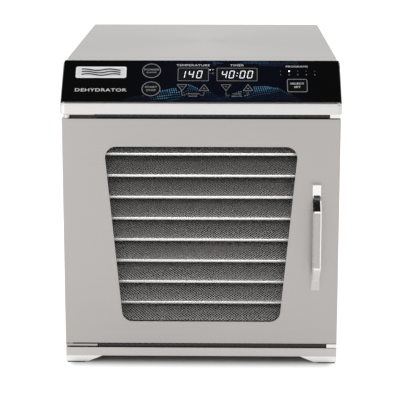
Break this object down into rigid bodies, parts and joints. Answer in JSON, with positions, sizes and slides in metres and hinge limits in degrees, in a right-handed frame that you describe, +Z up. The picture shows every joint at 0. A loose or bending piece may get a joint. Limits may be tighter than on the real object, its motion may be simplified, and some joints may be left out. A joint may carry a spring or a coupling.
{
  "type": "food dehydrator",
  "caption": "Stainless food dehydrator with sloped control head, hinged glass-panel door, bow handle and perforated sliding trays in front of a rear fan and heater.",
  "frame": {"origin": "bottom centre of the overall box, on the plane the foot pads stand on", "axes": "+Z up, +X to the right seen from the front, -Y towards the user (door and handle)"},
  "size_m": [0.43, 0.618, 0.4786],
  "materials": {
    "brushed_stainless": "brushed stainless sheet",
    "zinc_plated": "zinc plated sheet",
    "liner_steel": "mill finish stainless sheet",
    "tray_steel": "bright stainless",
    "polished_steel": "polished",
    "screw_steel": "plated",
    "dark_magnet": "dark",
    "black_rubber": "moulded rubber",
    "black_plastic": "fine grain",
    "fan_aluminium": "pressed",
    "nylon": "natural nylon",
    "element_steel": "heat darkened sheath",
    "copper_coil": "taped copper winding",
    "overlay_black": "smooth printed film",
    "badge_silver": "satin",
    "display_white": "lit segments",
    "board_green": "solder mask",
    "wire_red": "PVC insulation",
    "clear_glass": "clear toughened glass"
  },
  "bodies": {
    "cabinet": {"badge_plate": "badge_silver", "base_front_rail": "brushed_stainless", "base_pan": "zinc_plated", "case_wrap": "brushed_stainless", "catch_strike": "screw_steel", "chamber_liner": "liner_steel", "control_keys": "badge_silver", "control_overlay": "overlay_black", "corner_pieces": "polished_steel", "display_board": "board_green", "electronics_deck": "zinc_plated", "element_clips": "zinc_plated", "face_frame": "brushed_stainless", "fan_baffle": "liner_steel", "fan_partition": "zinc_plated", "feet": "polished_steel", "foot_pads": "black_rubber", "foot_screws": "screw_steel", "gap_trims": "black_plastic", "head_floor": "zinc_plated", "head_housing": "brushed_stainless", "heating_element": "element_steel", "hinge_pins": "polished_steel", "hinge_plates": "polished_steel", "indicator_lamps": "display_white", "inlet_metalwork": "screw_steel", "led_displays": "display_white", "mains_inlet": "black_plastic", "motor_bracket": "zinc_plated", "motor_coil": "copper_coil", "motor_screws": "screw_steel", "motor_stack": "zinc_plated", "power_board": "board_green", "rear_panel": "brushed_stainless", "rear_panel_screws": "screw_steel", "temperature_probe": "liner_steel", "thermal_cutout": "dark_magnet", "tray_ledges": "liner_steel", "wiring": "wire_red"},
    "door": {"door_skin": "brushed_stainless", "door_liner": "brushed_stainless", "door_glass": "clear_glass", "glass_gasket": "black_rubber", "door_seal": "black_rubber", "door_handle": "polished_steel", "handle_screws": "screw_steel", "door_magnet": "dark_magnet", "hinge_bushes": "nylon"},
    "fan": {"fan_impeller": "fan_aluminium", "motor_shaft": "zinc_plated"},
    "tray_01_body": {"tray_01": "tray_steel"},
    "tray_02_body": {"tray_02": "tray_steel"},
    "tray_03_body": {"tray_03": "tray_steel"},
    "tray_04_body": {"tray_04": "tray_steel"},
    "tray_05_body": {"tray_05": "tray_steel"},
    "tray_06_body": {"tray_06": "tray_steel"},
    "tray_07_body": {"tray_07": "tray_steel"},
    "tray_08_body": {"tray_08": "tray_steel"},
    "tray_09_body": {"tray_09": "tray_steel"},
    "tray_10_body": {"tray_10": "tray_steel"}
  },
  "joints": [
    {"name": "door_hinge", "type": "hinge", "parent": "cabinet", "child": "door", "pos_m": [-0.207, -0.264, 0.213], "axis": [0, 0, -1], "range_deg": [0, 180]},
    {"name": "fan_spin", "type": "hinge", "parent": "cabinet", "child": "fan", "pos_m": [0, 0.195, 0.214], "axis": [0, 1, 0], "continuous": true},
    {"name": "tray_01_slide", "type": "slide", "parent": "cabinet", "child": "tray_01_body", "axis": [0, -1, 0], "range_m": [0, 0.011]},
    {"name": "tray_02_slide", "type": "slide", "parent": "cabinet", "child": "tray_02_body", "axis": [0, -1, 0], "range_m": [0, 0.011]},
    {"name": "tray_03_slide", "type": "slide", "parent": "cabinet", "child": "tray_03_body", "axis": [0, -1, 0], "range_m": [0, 0.011]},
    {"name": "tray_04_slide", "type": "slide", "parent": "cabinet", "child": "tray_04_body", "axis": [0, -1, 0], "range_m": [0, 0.011]},
    {"name": "tray_05_slide", "type": "slide", "parent": "cabinet", "child": "tray_05_body", "axis": [0, -1, 0], "range_m": [0, 0.011]},
    {"name": "tray_06_slide", "type": "slide", "parent": "cabinet", "child": "tray_06_body", "axis": [0, -1, 0], "range_m": [0, 0.011]},
    {"name": "tray_07_slide", "type": "slide", "parent": "cabinet", "child": "tray_07_body", "axis": [0, -1, 0], "range_m": [0, 0.011]},
    {"name": "tray_08_slide", "type": "slide", "parent": "cabinet", "child": "tray_08_body", "axis": [0, -1, 0], "range_m": [0, 0.011]},
    {"name": "tray_09_slide", "type": "slide", "parent": "cabinet", "child": "tray_09_body", "axis": [0, -1, 0], "range_m": [0, 0.011]},
    {"name": "tray_10_slide", "type": "slide", "parent": "cabinet", "child": "tray_10_body", "axis": [0, -1, 0], "range_m": [0, 0.011]}
  ]
}
